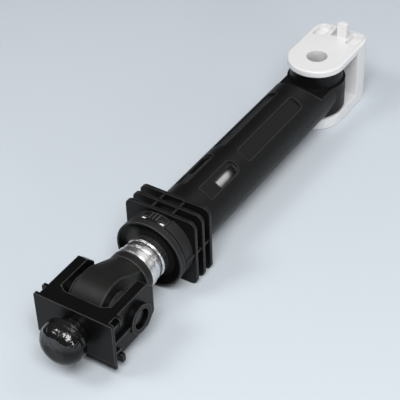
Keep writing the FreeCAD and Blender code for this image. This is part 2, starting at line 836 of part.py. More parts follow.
for sign in (1, -1):
    mouth_of_hub = sketch_on(foot_bracket, "XZ_Plane", lift=(hub_side - S.hub_height) * sign, aside=-pivot)
    circle(mouth_of_hub, 0, 0, S.pin_radius + S.hub_recess)
    cut(mouth_of_hub, S.hub_height * 2, reverse=sign > 0)
toe = sketch_on(foot_bracket, "XZ_Plane")
toe_top = S.toe_height - S.plate_bottom
toe_bottom = -S.plate_bottom - S.toe_setback
rectangle(toe, -(plate_front + S.toe_setback), S.toe_setback - plate_front, toe_bottom, toe_top)
cut(toe, plate_side * 3, symmetric=True)
nose = sketch_on(foot_bracket, "YZ_Plane", lift=S.toe_setback - plate_front)
circle(nose, 0, 0, S.nose_radius)
pad(nose, S.nose_length + S.toe_setback, reverse=True)

# Foot plug: a blunt mushroom head on a neck, pushed over the nose
plug_shoulder = plate_front + S.plug_neck_length
plug_tip = plate_front + S.plug_length
plug_radius = S.nose_radius + S.plug_wall
socket_end = plate_front + S.nose_length + S.joint_gap
foot_plug = turned("foot_plug", [
    (plate_front, S.nose_radius + S.fit_clearance),
    (plate_front, S.nose_radius + S.plug_neck),
    (plug_shoulder, S.nose_radius + S.plug_neck),
    (plug_shoulder, plug_radius, S.plug_base_round),
    (plug_tip, plug_radius, S.plug_round),
    (plug_tip, 0),
    (socket_end, 0),
    (socket_end, S.nose_radius + S.fit_clearance),
])

# Clevis: a rounded block split by the fork gap, with hollow trunnions that turn in the eye
clevis = new_body("clevis")
block_face = belt_radius + S.swing_gap
back_face = block_face + S.block_length
front = sketch_on(clevis, "XY_Plane")
circle(front, 0, 0, S.clevis_radius)
pad(front, fork_top * 2, symmetric=True)
body_outline = sketch_on(clevis, "XY_Plane")
outline(body_outline, [
    (0, -S.clevis_radius),
    (back_face, -S.clevis_radius, S.block_corner),
    (back_face, S.clevis_radius, S.block_corner),
    (0, S.clevis_radius),
])
pad(body_outline, fork_top * 2, symmetric=True)
gap = sketch_on(clevis, "XZ_Plane")
rectangle(gap, -(S.clevis_radius * 2), block_face, -fork_floor, fork_gap)
cut(gap, S.clevis_radius * 3, symmetric=True)
for upward in (True, False):
    trunnion_end = (fork_gap if upward else fork_floor) - S.trunnion_length
    trunnion = sketch_on(clevis, "XY_Plane", lift=trunnion_end if upward else -trunnion_end)
    circle(trunnion, 0, 0, trunnion_radius)
    pad(trunnion, S.trunnion_length + S.clevis_plate / 2, reverse=not upward)
bore_cut = sketch_on(clevis, "XY_Plane")
circle(bore_cut, 0, 0, S.bore_radius)
cut(bore_cut, fork_top * 3, symmetric=True)

# The block behind the fork is cored from above and below, and a tab stands in its middle
tab_right = -(S.tab_offset + S.tab_width / 2)
tab_left = tab_right + S.tab_width
notch_left = tab_left + S.notch_width
core_side = S.clevis_radius - S.block_wall
core_front = block_face + S.block_wall / 2
core_back = back_face - S.block_wall
for upward in (True, False):
    for near, far in ((notch_left + S.block_wall, core_side), (tab_right - S.block_wall / 2, -core_side)):
        core = sketch_on(clevis, "XY_Plane", lift=fork_top if upward else -fork_top)
        rectangle(core, core_front, core_back, near, far, S.core_corner)
        cut(core, S.core_depth, reverse=not upward)
notch = sketch_on(clevis, "XY_Plane", lift=fork_top)
rectangle(notch, back_face - S.notch_length, back_face + S.block_wall, tab_left, notch_left)
cut(notch, S.core_depth)
tab = sketch_on(clevis, "YZ_Plane", lift=back_face - S.notch_length)
outline(tab, [
    (tab_right, fork_top - S.clevis_plate),
    (tab_left, fork_top - S.clevis_plate),
    (tab_left, fork_top + S.tab_rise, S.tab_round),
    (tab_right, fork_top + S.tab_rise, S.tab_round),
])
pad(tab, S.tab_thickness)


def on_fork_rim(edge):
    """True for the outer edges of the two plates' outlines, away from the cores and the tab."""
    middle = edge.valueAt((edge.FirstParameter + edge.LastParameter) / 2)
    on_face = abs(abs(middle.z) - fork_top.value) < S.fit_clearance.value
    if middle.x > block_face.value:
        on_side = abs(abs(middle.y) - S.clevis_radius.value) < S.fit_clearance.value
    else:
        reach = math.hypot(min(middle.x, 0), middle.y)
        on_side = abs(reach - S.clevis_radius.value) < S.fit_clearance.value
    return on_face and on_side


round_edges(clevis, S.clevis_round, on_fork_rim)

doc.recompute()
pieces = [thing for thing in doc.Objects if thing.TypeId == "PartDesign::Body"]
for thing in doc.Objects:
    if "Invalid" in thing.State or "Error" in thing.State:
        raise ValueError(f"{thing.Name} failed: {thing.State}")
for piece in pieces:
    if piece.Shape.isNull() or not piece.Shape.isValid():
        raise ValueError(f"{piece.Label} has no valid shape")
os.makedirs("parts", exist_ok=True)
for piece in pieces:
    piece.Shape.exportStep(f"parts/{piece.Label}.step")
    print(piece.Label, len(piece.Shape.Solids), round(piece.Shape.Volume, 1))
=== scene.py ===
# %% [markdown]
# # A friction damper from a washing machine
#
# The part lies on a pale table: a black moulded tube with three square fins, a bright steel rod
# that slides in it, a pivoting clip foot at the front and a white fork at the back. The solids
# come from the CAD model and keep their shape. This lesson gives every piece the finish of the
# real one, turns the rubber plug anew with creases in it, and adds the small marks that moulding
# leaves.

# %% Load the solids
import math

import bmesh
import bpy
from mathutils import Matrix, Vector, noise


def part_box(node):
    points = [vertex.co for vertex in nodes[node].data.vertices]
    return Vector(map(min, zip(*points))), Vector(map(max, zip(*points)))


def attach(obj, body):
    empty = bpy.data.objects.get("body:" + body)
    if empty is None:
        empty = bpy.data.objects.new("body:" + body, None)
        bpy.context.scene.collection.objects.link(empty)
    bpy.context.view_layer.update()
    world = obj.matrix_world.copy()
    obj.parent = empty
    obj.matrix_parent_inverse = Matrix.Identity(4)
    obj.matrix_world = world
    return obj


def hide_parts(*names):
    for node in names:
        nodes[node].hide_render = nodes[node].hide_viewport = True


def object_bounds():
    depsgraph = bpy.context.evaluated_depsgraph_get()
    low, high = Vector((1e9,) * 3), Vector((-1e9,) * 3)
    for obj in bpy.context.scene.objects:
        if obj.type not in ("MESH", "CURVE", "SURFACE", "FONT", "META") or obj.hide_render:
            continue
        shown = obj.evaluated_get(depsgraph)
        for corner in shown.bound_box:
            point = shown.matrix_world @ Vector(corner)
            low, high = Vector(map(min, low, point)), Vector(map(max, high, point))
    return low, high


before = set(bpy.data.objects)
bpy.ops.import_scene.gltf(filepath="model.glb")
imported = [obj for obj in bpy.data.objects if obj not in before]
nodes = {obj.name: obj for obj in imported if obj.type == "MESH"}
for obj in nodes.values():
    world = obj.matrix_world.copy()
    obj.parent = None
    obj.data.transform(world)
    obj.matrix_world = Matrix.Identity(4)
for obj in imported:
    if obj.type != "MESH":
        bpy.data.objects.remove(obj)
cad_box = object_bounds()
scene = bpy.context.scene
MM = 0.001

# %% [markdown]
# ## Camera
#
# A camera is easiest to repeat when it is stated as a person would say it: which way it looks,
# how far it is tilted and how far away it stands. The three directions of the camera follow from
# these angles, and its matrix is those directions side by side. The lens is long, as for a small
# product on a table, so the tube hardly narrows with distance.

# %% Place the camera
AZIMUTH = math.radians(-55.75)
ELEVATION = math.radians(39.54)
ROLL = math.radians(-2.27)
DISTANCE = 735.4 * MM
TARGET = Vector((-120 * MM, 0, 0))
ASIDE = 8.0 * MM
BELOW = 6.6 * MM
SENSOR_WIDTH = 36
FOCAL_LENGTH = 116.1


def add_object(name, data):
    """Put an object with the given data into the scene."""
    added = bpy.data.objects.new(name, data)
    scene.collection.objects.link(added)
    return added


back = Vector((
    math.sin(AZIMUTH) * math.cos(ELEVATION),
    -math.cos(AZIMUTH) * math.cos(ELEVATION),
    math.sin(ELEVATION),
))
level_right = Vector((math.cos(AZIMUTH), math.sin(AZIMUTH), 0))
level_up = back.cross(level_right)
right = level_right * math.cos(ROLL) + level_up * math.sin(ROLL)
up = level_up * math.cos(ROLL) - level_right * math.sin(ROLL)

lens = bpy.data.cameras.new("product_camera")
lens.sensor_width = SENSOR_WIDTH
lens.lens = FOCAL_LENGTH
camera = add_object("product_camera", lens)
stand = TARGET + back * DISTANCE - right * ASIDE - up * BELOW
turn = Matrix((right, up, back)).transposed().to_4x4()
camera.matrix_world = Matrix.Translation(stand) @ turn
scene.camera = camera
print("camera stands", round(camera.location.z, 3), "m above the damper's axis")

# %% [markdown]
# ## Table
#
# The table is one large, pale face at the height of the part's lowest point. A real table would
# have a thickness and an edge, but neither is in view.

# %% Build the table
TABLE_SIZE = 6.0
TABLE_COLOUR = (0.60, 0.65, 0.70, 1)
TABLE_ROUGHNESS = 0.7


def plain_shader(name):
    """Start a material, and give it with its node tree and its shader."""
    material = bpy.data.materials.new(name)
    material.use_nodes = True
    return material, material.node_tree, material.node_tree.nodes["Principled BSDF"]


half = TABLE_SIZE / 2
level = cad_box[0][2]
corners = [(-half, -half, level), (half, -half, level), (half, half, level), (-half, half, level)]
table_mesh = bpy.data.meshes.new("table")
table_mesh.from_pydata(corners, [], [(0, 1, 2, 3)])
table = add_object("table", table_mesh)

table_paint, tree, shader = plain_shader("table_paint")
shader.inputs["Base Color"].default_value = TABLE_COLOUR
shader.inputs["Roughness"].default_value = TABLE_ROUGHNESS
table_mesh.materials.append(table_paint)
print("table at z =", round(level / MM, 2), "mm")

# %% [markdown]
# ## Lamps
#
# Black plastic shows its form only through what it mirrors, so the places of the lamps matter
# more than its colour. The strongest lamp hangs above the camera's side: it lights the table and
# the white fork, while flat black faces throw its light away from the lens. A wide, weaker lamp
# behind the part on the right is mirrored by the tube's shoulder as a grey band, one behind on
# the left by the round front of the knuckle, and a low one by the edges on the right. The last
# stands low beside the camera and makes the flecks on the rubber plug and the bushes.

# %% Hang the lamps


def add_lamp(name, place, size, watts):
    """Hang a soft rectangular lamp that faces the middle of the part."""
    lamp = bpy.data.lights.new(name, "AREA")
    lamp.shape = "RECTANGLE"
    lamp.size, lamp.size_y = size
    lamp.energy = watts
    hung = add_object(name, lamp)
    facing = (Vector(place) - TARGET).to_track_quat("Z", "Y").to_matrix().to_4x4()
    hung.matrix_world = Matrix.Translation(Vector(place)) @ facing
    return hung


lamps = [
    add_lamp("table_lamp", (-0.72, -0.42, 1.05), (0.8, 0.6), 14.0),
    add_lamp("band_lamp", (0.58, -0.26, 0.81), (0.9, 0.7), 2.1),
    add_lamp("knuckle_lamp", (-0.6, 0.5, 0.9), (0.4, 0.4), 3.8),
    add_lamp("edge_lamp", (0.55, -0.80, 0.32), (0.4, 0.4), 0.6),
    add_lamp("fleck_lamp", (-0.55, -0.92, 0.30), (0.2, 0.2), 1.8),
]
print(len(lamps), "lamps give", round(sum(lamp.data.energy for lamp in lamps), 1), "W")

# %% [markdown]
# ## Sky
#
# The sky fills the shadows. It could be one even grey, but then the steel rod would mirror the
# same tone all round. This one is dim and gets darker towards the ground, so the rod has dark
# bands beside bright ones. The helpers below add a node and feed its inputs by their names, and
# they serve every node tree after this one.

# %% Light the sky
SKY_COLOUR = (0.97, 0.98, 1, 1)
SKY_STRENGTHS = (0.04, 0.14)
SKY_FOOT, SKY_TOP = -0.1, 1.0


def feed(tree, socket, value):
    """Set an input to a plain value, or link it to another node's output."""
    if isinstance(value, bpy.types.NodeSocket):
        tree.links.new(value, socket)
    else:
        socket.default_value = value


def wired(tree, kind, **inputs):
    """Add a node and feed its inputs by their names, with _ in place of a space."""
    node = tree.nodes.new(kind)
    for name, value in inputs.items():
        feed(tree, node.inputs[name.replace("_", " ")], value)
    return node


def axes_of(tree, vector):
    """The three numbers of a vector, by the names X, Y and Z."""
    return wired(tree, "ShaderNodeSeparateXYZ", Vector=vector).outputs


def value_between(tree, factor, low, high, start=0.3, end=0.7):
    """A number that runs from low to high while a factor runs from start to end."""
    node = wired(tree, "ShaderNodeMapRange", Value=factor, From_Min=start, From_Max=end,
                 To_Min=low, To_Max=high)
    return node.outputs["Result"]


world = bpy.data.worlds.new("sky")
world.use_nodes = True
scene.world = world
sky = world.node_tree
direction = sky.nodes.new("ShaderNodeTexCoord").outputs["Generated"]
strength = value_between(sky, axes_of(sky, direction)["Z"], *SKY_STRENGTHS, SKY_FOOT, SKY_TOP)
feed(sky, sky.nodes["Background"].inputs["Strength"], strength)
feed(sky, sky.nodes["Background"].inputs["Color"], SKY_COLOUR)
scene.view_settings.view_transform = "Standard"
print("sky strength from", SKY_STRENGTHS[0], "to", SKY_STRENGTHS[1])

# %% [markdown]
# ## Rounded edges and painted edge highlights
#
# No moulded edge is perfectly sharp. Rounding every edge in the mesh would need many thin faces,
# so a shader group asks the renderer for a normal that is averaged over a small radius, and edges
# catch light as a fine rounded line. The group also looks from the surface into the piece: where
# another face is close behind, an outer edge is near, and this makes a mask of the outer edges,
# on which a highlight is painted later.

# %% Group for soft edges
EDGE_REACH = 1.5
EDGE_GAIN = 2.2
NUMBER = "NodeSocketFloat"
COLOUR = "NodeSocketColor"
VECTOR = "NodeSocketVector"


def new_group(name, inputs, outputs, kind="ShaderNodeTree"):
    """Start a node group. An input is (name, kind, start value) and an output (name, kind)."""
    group = bpy.data.node_groups.new(name, kind)
    for socket, sort, value in inputs:
        entry = group.interface.new_socket(socket, in_out="INPUT", socket_type=sort)
        entry.default_value = value
    for socket, sort in outputs:
        group.interface.new_socket(socket, in_out="OUTPUT", socket_type=sort)
    given = group.nodes.new("NodeGroupInput").outputs
    return group, given, group.nodes.new("NodeGroupOutput").inputs


def math_node(tree, operation, *values, clamp=False):
    """Add a Math node whose inputs are sockets or numbers, and give its output."""
    node = tree.nodes.new("ShaderNodeMath")
    node.operation = operation
    node.use_clamp = clamp
    for socket, value in zip(node.inputs, values):
        feed(tree, socket, value)
    return node.outputs["Value"]


soft_edges, given, made = new_group(
    "soft_edges", [("Radius", NUMBER, 0.4 * MM)], [("Normal", VECTOR), ("Edge", NUMBER)])
rounded = wired(soft_edges, "ShaderNodeBevel", Radius=given["Radius"])
rounded.samples = 6
reach = math_node(soft_edges, "MULTIPLY", given["Radius"], EDGE_REACH)
inward = wired(soft_edges, "ShaderNodeAmbientOcclusion", Distance=reach)
inward.inside = True
inward.only_local = True
inward.samples = 8
near_edge = math_node(soft_edges, "SUBTRACT", 1.0, inward.outputs["AO"])
feed(soft_edges, made["Normal"], rounded.outputs["Normal"])
feed(soft_edges, made["Edge"], math_node(soft_edges, "MULTIPLY", near_edge, EDGE_GAIN, clamp=True))
print("group:", soft_edges.name)

# %% [markdown]
# ## The skin of a moulding
#
# A moulding copies the wall of its mould, so it has a fine stipple all over. The plastic also
# flows as it fills the mould, and this leaves broad marks that change the colour and the gloss a
# little. Noise in Object coordinates gives both, without any image. The group mixes them with a
# painted highlight on the outer edges, broken into patches by noise, and hands out a colour, a
# roughness and a height.

# %% Group for a moulded skin
FLOW_SCALE = 45.0
SMUDGE_AND_PATCH_SCALE = 190.0
HIGHLIGHT_PATCH_GAIN = 1.6


def object_places(tree, stretch=None):
    """Object coordinates, stretched by a Mapping node where that is asked for."""
    places = tree.nodes.new("ShaderNodeTexCoord").outputs["Object"]
    if stretch:
        places = wired(tree, "ShaderNodeMapping", Vector=places, Scale=stretch).outputs["Vector"]
    return places


def noise_node(tree, vector, scale, detail=2.0):
    """Add a noise that has about as many grains to the metre as its scale says."""
    node = wired(tree, "ShaderNodeTexNoise", Vector=vector, Scale=scale, Detail=detail)
    return node.outputs["Fac"]


def colour_between(tree, factor, first, second, blend="MIX"):
    """A colour that runs from the first to the second with a factor."""
    node = tree.nodes.new("ShaderNodeMix")
    node.data_type = "RGBA"
    node.blend_type = blend
    for name, value in (("Factor", factor), ("A", first), ("B", second)):
        feed(tree, node.inputs[name], value)
    return node.outputs["Result"]


def mixture(tree, first, second, share):
    """A share of the first number and the rest of the second."""
    return math_node(tree, "ADD", math_node(tree, "MULTIPLY", first, share),
                     math_node(tree, "MULTIPLY", second, 1 - share))


moulded_skin, given, made = new_group(
    "moulded_skin",
    [
        ("Colour", COLOUR, (0.02, 0.02, 0.02, 1)),
        ("Flow Colour", COLOUR, (0.03, 0.03, 0.03, 1)),
        ("Worn Colour", COLOUR, (0.06, 0.06, 0.06, 1)),
        ("Edge", NUMBER, 0.0),
        ("Grain", NUMBER, 1500.0),
        ("Gloss Low", NUMBER, 0.36),
        ("Gloss High", NUMBER, 0.5),
    ],
    [("Colour", COLOUR), ("Roughness", NUMBER), ("Height", NUMBER)],
)
places = object_places(moulded_skin)
flow = noise_node(moulded_skin, places, FLOW_SCALE, detail=4.0)
smudge_and_highlight_patches = noise_node(moulded_skin, places, SMUDGE_AND_PATCH_SCALE, detail=3.0)
stipple = noise_node(moulded_skin, places, given["Grain"])
clouded = colour_between(moulded_skin, flow, given["Colour"], given["Flow Colour"])
# painted highlight: the outer edges are lightened towards the edge highlight colour, in patches
highlight_patches = math_node(moulded_skin, "MULTIPLY", smudge_and_highlight_patches, HIGHLIGHT_PATCH_GAIN)
edge_highlight_mask = math_node(moulded_skin, "MULTIPLY", given["Edge"], highlight_patches, clamp=True)
edge_highlight = colour_between(moulded_skin, edge_highlight_mask, clouded, given["Worn Colour"])
marks = mixture(moulded_skin, flow, smudge_and_highlight_patches, 0.5)
gloss = value_between(moulded_skin, marks, given["Gloss Low"], given["Gloss High"])
feed(moulded_skin, made["Colour"], edge_highlight)
feed(moulded_skin, made["Roughness"], gloss)
feed(moulded_skin, made["Height"], stipple)
print("group:", moulded_skin.name)

# %% [markdown]
# ## Masks for marks and painted shade
#
# Some marks belong to one place on a piece. A painted image could hold them, but a mask worked
# out from the coordinates stays sharp at any distance. The first group gives a band between two
# places on the damper's axis. The second gives a painted shade inside the rim of the damper's
# mouth, and leaves out one lit spot beside the rod.

# %% Groups for a band and for painted shade in the mouth


def radius_of(tree, first, second):
    """Distance from an axis, out of the two coordinates across it."""
    squares = [math_node(tree, "MULTIPLY", value, value) for value in (first, second)]
    return math_node(tree, "SQRT", math_node(tree, "ADD", *squares))


axis_band, given, made = new_group(
    "axis_band", [("Front", NUMBER, 0.0), ("Back", NUMBER, 0.0)], [("Mask", NUMBER)])
along = axes_of(axis_band, object_places(axis_band))["X"]
behind = math_node(axis_band, "GREATER_THAN", along, given["Front"])
ahead = math_node(axis_band, "LESS_THAN", along, given["Back"])
feed(axis_band, made["Mask"], math_node(axis_band, "MULTIPLY", behind, ahead))

mouth_grease, given, made = new_group(
    "mouth_grease",
    [
        ("Radius", NUMBER, 19 * MM),
        ("Clean Spot", VECTOR, (0, 0, 0)),
        ("Clean Size", NUMBER, 8 * MM),
    ],
    [("Mask", NUMBER)],
)
places = object_places(mouth_grease)
axes = axes_of(mouth_grease, places)
from_axis = radius_of(mouth_grease, axes["Y"], axes["Z"])
inside = math_node(mouth_grease, "LESS_THAN", from_axis, given["Radius"])
# painted shade covers all that lies inside the rim of the cap
away = mouth_grease.nodes.new("ShaderNodeVectorMath")
away.operation = "DISTANCE"
feed(mouth_grease, away.inputs[0], places)
feed(mouth_grease, away.inputs[1], given["Clean Spot"])
half_size = math_node(mouth_grease, "MULTIPLY", given["Clean Size"], 0.5)
# painted shade: none close to the lit spot, full beyond the spot's size
shaded = value_between(mouth_grease, away.outputs["Value"], 0.0, 1.0,
                       start=half_size, end=given["Clean Size"])
feed(mouth_grease, made["Mask"], math_node(mouth_grease, "MULTIPLY", inside, shaded))
print("groups:", axis_band.name, "and", mouth_grease.name)

# %% [markdown]
# ## Recipe for mouldings
#
# The tube, cap, knuckle, foot, bushes and fork are all injection moulded. Each could have a
# material built by hand, but one recipe serves them all with different values. Marks, painted
# light and painted shade are then blended over a finish wherever a mask is white: the earlier
# colour and roughness go into the blend, and its own take their place.

# %% Recipe for a moulded plastic and its marks
RIM_THICKNESS = 1.2 * MM
# a lit spot beside the rod, which the painted shade of the mouth leaves out
LIT_SPOT = (-184.5 * MM, 12.5 * MM, 7.5 * MM)
LIT_SPOT_SIZE = 9.0 * MM


def grey(value, warmth=0.0):
    """A grey that leans a little to warm."""
    return (value * (1 + warmth), value, value * (1 - warmth), 1)


def add_group(tree, group, **values):
    """Place a shader group in a material and feed its inputs by name."""
    node = tree.nodes.new("ShaderNodeGroup")
    node.node_tree = group
    for name, value in values.items():
        feed(tree, node.inputs[name.replace("_", " ")], value)
    return node


def add_bump(tree, shader, height, distance, strength=0.6):
    """Let a height disturb the shader's normal, over an earlier normal where there is one."""
    bump = wired(tree, "ShaderNodeBump", Height=height, Distance=distance, Strength=strength)
    if shader.inputs["Normal"].is_linked:
        feed(tree, bump.inputs["Normal"], shader.inputs["Normal"].links[0].from_socket)
    feed(tree, shader.inputs["Normal"], bump.outputs["Normal"])


def moulding(name, colour, flow, edge_highlight, gloss, grain, relief, edge=0.4 * MM, shine=0.5):
    """A moulded plastic with stipple, flow marks and a painted highlight on its edges."""
    material, tree, shader = plain_shader(name)
    edges = add_group(tree, soft_edges, Radius=edge)
    skin = add_group(tree, moulded_skin, Colour=colour, Flow_Colour=flow, Worn_Colour=edge_highlight,
                     Edge=edges.outputs["Edge"], Grain=grain,
                     Gloss_Low=gloss[0], Gloss_High=gloss[1])
    feed(tree, shader.inputs["Base Color"], skin.outputs["Colour"])
    feed(tree, shader.inputs["Roughness"], skin.outputs["Roughness"])
    feed(tree, shader.inputs["Specular IOR Level"], shine)
    feed(tree, shader.inputs["Normal"], edges.outputs["Normal"])
    add_bump(tree, shader, skin.outputs["Height"], relief)
    return material


def blend_over(material, mask, colour, dulled, blend="MIX", shine=1.0):
    """Blend a colour over a finish where a mask is white, and make it duller there."""
    tree = material.node_tree
    shader = tree.nodes["Principled BSDF"]
    clean, smooth = (shader.inputs[name].links[0].from_socket
                     for name in ("Base Color", "Roughness"))
    rougher = math_node(tree, "ADD", smooth, math_node(tree, "MULTIPLY", mask, dulled))
    feed(tree, shader.inputs["Base Color"], colour_between(tree, mask, clean, colour, blend))
    feed(tree, shader.inputs["Roughness"], rougher)
    if shine < 1.0:
        level = shader.inputs["Specular IOR Level"]
        lost = math_node(tree, "MULTIPLY", mask, level.default_value * (1.0 - shine))
        feed(tree, level, math_node(tree, "SUBTRACT", level.default_value, lost))


def band(material, places, colour, dulled, blend="LIGHTEN"):
    """Blend a colour over a finish between two places on the damper's axis."""
    front, back = places
    marked = add_group(material.node_tree, axis_band, Front=front, Back=back)
    blend_over(material, marked.outputs["Mask"], colour, dulled, blend)


def paint_mouth_shade(material):
    """Paint shade inside the rim of the cap, all but a lit spot beside the rod."""
    inside = add_group(material.node_tree, mouth_grease,
                       Radius=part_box("mouth_cap")[1][2] - RIM_THICKNESS,
                       Clean_Spot=LIT_SPOT, Clean_Size=LIT_SPOT_SIZE)
    # painted shade: darker and less shiny inside the rim, all but the lit spot
    blend_over(material, inside.outputs["Mask"], grey(0.0012), 0.2, "DARKEN", shine=0.3)


def paint_bore_shade(material, radius, mouth, depth, colour):
    """Paint shade into a bore along Z: darker from its mouths down to a depth."""
    tree = material.node_tree
    axes = axes_of(tree, object_places(tree))
    inside = math_node(tree, "LESS_THAN", radius_of(tree, axes["X"], axes["Y"]), radius)
    height = math_node(tree, "ABSOLUTE", axes["Z"])
    deep = value_between(tree, height, 1.0, 0.0, start=mouth - depth, end=mouth)
    blend_over(material, math_node(tree, "MULTIPLY", inside, deep), colour, 0.1)


print("recipe for mouldings, with a lit spot of", round(LIT_SPOT_SIZE / MM, 1), "mm in the mouth")

# %% [markdown]
# ## Mouldings
#
# The black pieces differ in gloss and stipple: the cap's ring is coarser than the tube, and the
# foot is smoother. White plastic has a soft shine and almost no stipple. The collar behind the
# cap is duller, and a painted light makes it paler. Painted shade makes the seam between the two
# nearly black and darkens the dish in the cap, and it makes the bore of the fork darker with
# depth.

# %% Dress the moulded solids
CAP_EDGE = (-186 * MM, -181.9 * MM)
PAINTED_SHADE_SEAM = (-182 * MM, -180.6 * MM)
PAINTED_LIGHT_COLLAR = (-180.6 * MM, -173.5 * MM)


def dress(material, *names):
    """Give CAD solids a finish by filling their material slots."""
    for name in names:
        for i in range(len(nodes[name].data.materials)):
            nodes[name].data.materials[i] = material


# the third colour of each moulding is the painted highlight on its outer edges
tube_black = moulding("tube_black", grey(0.0035), grey(0.006, 0.04), grey(0.045, 0.02),
                      gloss=(0.38, 0.5), grain=1300.0, relief=0.05 * MM, shine=0.2)
# painted light: the collar is made paler, and a little duller
band(tube_black, PAINTED_LIGHT_COLLAR, grey(0.022), 0.15)
# painted shade: the seam between the cap and the collar is made nearly black
band(tube_black, PAINTED_SHADE_SEAM, grey(0.0005), 0.4, blend="DARKEN")
cap_black = moulding("cap_black", grey(0.006), grey(0.01, 0.03), grey(0.11, 0.02),
                     gloss=(0.36, 0.5), grain=1100.0, relief=0.1 * MM, edge=0.3 * MM, shine=0.22)
band(cap_black, CAP_EDGE, grey(0.016), 0.1)
# painted shade in the dish of the cap
paint_mouth_shade(cap_black)
knuckle_black = moulding("knuckle_black", grey(0.008, 0.02), grey(0.012, 0.05), grey(0.09, 0.03),
                         gloss=(0.4, 0.52), grain=1500.0, relief=0.05 * MM, edge=0.6 * MM,
                         shine=0.22)
foot_black = moulding("foot_black", grey(0.0022), grey(0.0035), grey(0.07),
                      gloss=(0.3, 0.42), grain=1600.0, relief=0.04 * MM, shine=0.15)
bush_grey = moulding("bush_grey", grey(0.02), grey(0.03), grey(0.1),
                     gloss=(0.16, 0.26), grain=1800.0, relief=0.03 * MM, edge=0.5 * MM)
fork_white = moulding("fork_white", grey(0.76), grey(0.78, 0.005), grey(0.82),
                      gloss=(0.32, 0.42), grain=900.0, relief=0.02 * MM, edge=0.9 * MM)
# painted shade: the fork's bore gets darker with depth
paint_bore_shade(fork_white, radius=7.0 * MM, mouth=21.5 * MM, depth=11.0 * MM, colour=grey(0.42))
slide_white = moulding("slide_white", grey(0.76, 0.01), grey(0.8, 0.012), grey(0.82),
                       gloss=(0.35, 0.45), grain=1500.0, relief=0.03 * MM, edge=0.3 * MM)
dress(tube_black, "housing")
dress(cap_black, "mouth_cap")
dress(knuckle_black, "rod_end")
dress(foot_black, "foot_bracket")
dress(bush_grey, "bush_left", "bush_right")
dress(fork_white, "clevis")
dress(slide_white, "guide_bush", "piston_ring")
print("moulded finishes on nine solids")

# %% [markdown]
# ## Rubber and foam
#
# The plug on the foot is a soft, glossy rubber. Its upper side is crumpled and polished from
# being pushed into the base frame, which breaks the highlight there into flecks. The wiper is a
# dull rubber with the same painted shade as the dish of the cap, and the sleeve that brakes the
# rod is a greased open foam. A Voronoi texture has round cells, so it makes the foam's small dark
# pores.

# %% Finishes for the plug, the wiper and the foam
CRUMPLE_RISE = (-4 * MM, 6 * MM)
POLISH_RISE = (2 * MM, 7 * MM)
STREAK_STRETCH = (1.0, 1.0, 0.45)


def tint(tree, shader, factor, colours, gloss):
    """Let one factor drive both the colour and the roughness of a shader."""
    feed(tree, shader.inputs["Base Color"], colour_between(tree, factor, *colours))
    feed(tree, shader.inputs["Roughness"], value_between(tree, factor, *gloss))


plug_rubber, tree, shader = plain_shader("plug_rubber")
height = axes_of(tree, object_places(tree))["Z"]
crumpled = value_between(tree, height, 0.25, 1.0, *CRUMPLE_RISE)
polish = value_between(tree, height, 0.18, 0.9, *POLISH_RISE)
streaks = noise_node(tree, object_places(tree, STREAK_STRETCH), 380.0, detail=3.0)
wrinkles = math_node(tree, "MULTIPLY", streaks, crumpled)
dimples = noise_node(tree, object_places(tree), 900.0, detail=1.0)
film = noise_node(tree, object_places(tree), 160.0, detail=3.0)
tint(tree, shader, film, (grey(0.003), grey(0.007, 0.08)), (0.05, 0.2))
feed(tree, shader.inputs["Specular IOR Level"], polish)
add_bump(tree, shader, wrinkles, 0.5 * MM, strength=0.5)
add_bump(tree, shader, dimples, 0.15 * MM, strength=0.5)

wiper_rubber, tree, shader = plain_shader("wiper_rubber")
bloom = noise_node(tree, object_places(tree), 700.0, detail=3.0)
tint(tree, shader, bloom, (grey(0.012), grey(0.025)), (0.5, 0.7))
add_bump(tree, shader, bloom, 0.05 * MM)
# painted shade on the wiper, the same as in the dish of the cap
paint_mouth_shade(wiper_rubber)

brake_foam, tree, shader = plain_shader("brake_foam")
cells = wired(tree, "ShaderNodeTexVoronoi", Vector=object_places(tree), Scale=1200.0)
pores = cells.outputs["Distance"]
tint(tree, shader, pores, (grey(0.08, 0.1), grey(0.4, 0.15)), (0.55, 0.9))
add_bump(tree, shader, pores, 0.3 * MM)

dress(wiper_rubber, "dust_wiper")
dress(brake_foam, "friction_lining")
print("rubber for the plug and the wiper, and foam for the sleeve")

# %% [markdown]
# ## The plug
#
# The plug itself is turned in code. Its outline is walked in short steps, and each step becomes a
# ring of points about the damper's axis. The Screw modifier would turn it too, but in code the
# points stay at hand, and the creases need them next.

# %% Turn the plug
NECK_RADIUS = 8.6 * MM
NECK_LENGTH = 5.8 * MM
HEAD_ROUND = 8.0 * MM
BASE_ROUND = 0.5 * MM
SOCKET_RADIUS = 7.03 * MM
SOCKET_DEPTH = 8.3 * MM
RING_STEP = 0.4 * MM
RING_POINTS = 180
QUARTER = math.pi / 2


def arc_points(along, radius, size, first, last, count=12):
    """Points of an arc in the lathe's plane, between two angles from the outward direction."""
    angles = [first + (last - first) * i / count for i in range(count + 1)]
    return [(along - size * math.sin(angle), radius + size * math.cos(angle)) for angle in angles]


def turned_piece(name, outline, step, count):
    """Turn an open outline, which starts and ends on the damper's axis, into a mesh."""
    rings = [outline[0]]
    for start, end in zip(outline, outline[1:]):
        parts = max(1, math.ceil(math.dist(start, end) / step))
        for i in range(1, parts + 1):
            rings.append([a + (b - a) * i / parts for a, b in zip(start, end)])
    turns = [math.tau * i / count for i in range(count)]
    points = [(x, r * math.cos(turn), r * math.sin(turn)) for x, r in rings for turn in turns]
    faces = []
    for ring in range(0, count * (len(rings) - 1), count):
        for i in range(count):
            j = (i + 1) % count
            faces.append((ring + i, ring + j, ring + count + j, ring + count + i))
    mesh = bpy.data.meshes.new(name)
    mesh.from_pydata(points, [], faces)
    return mesh


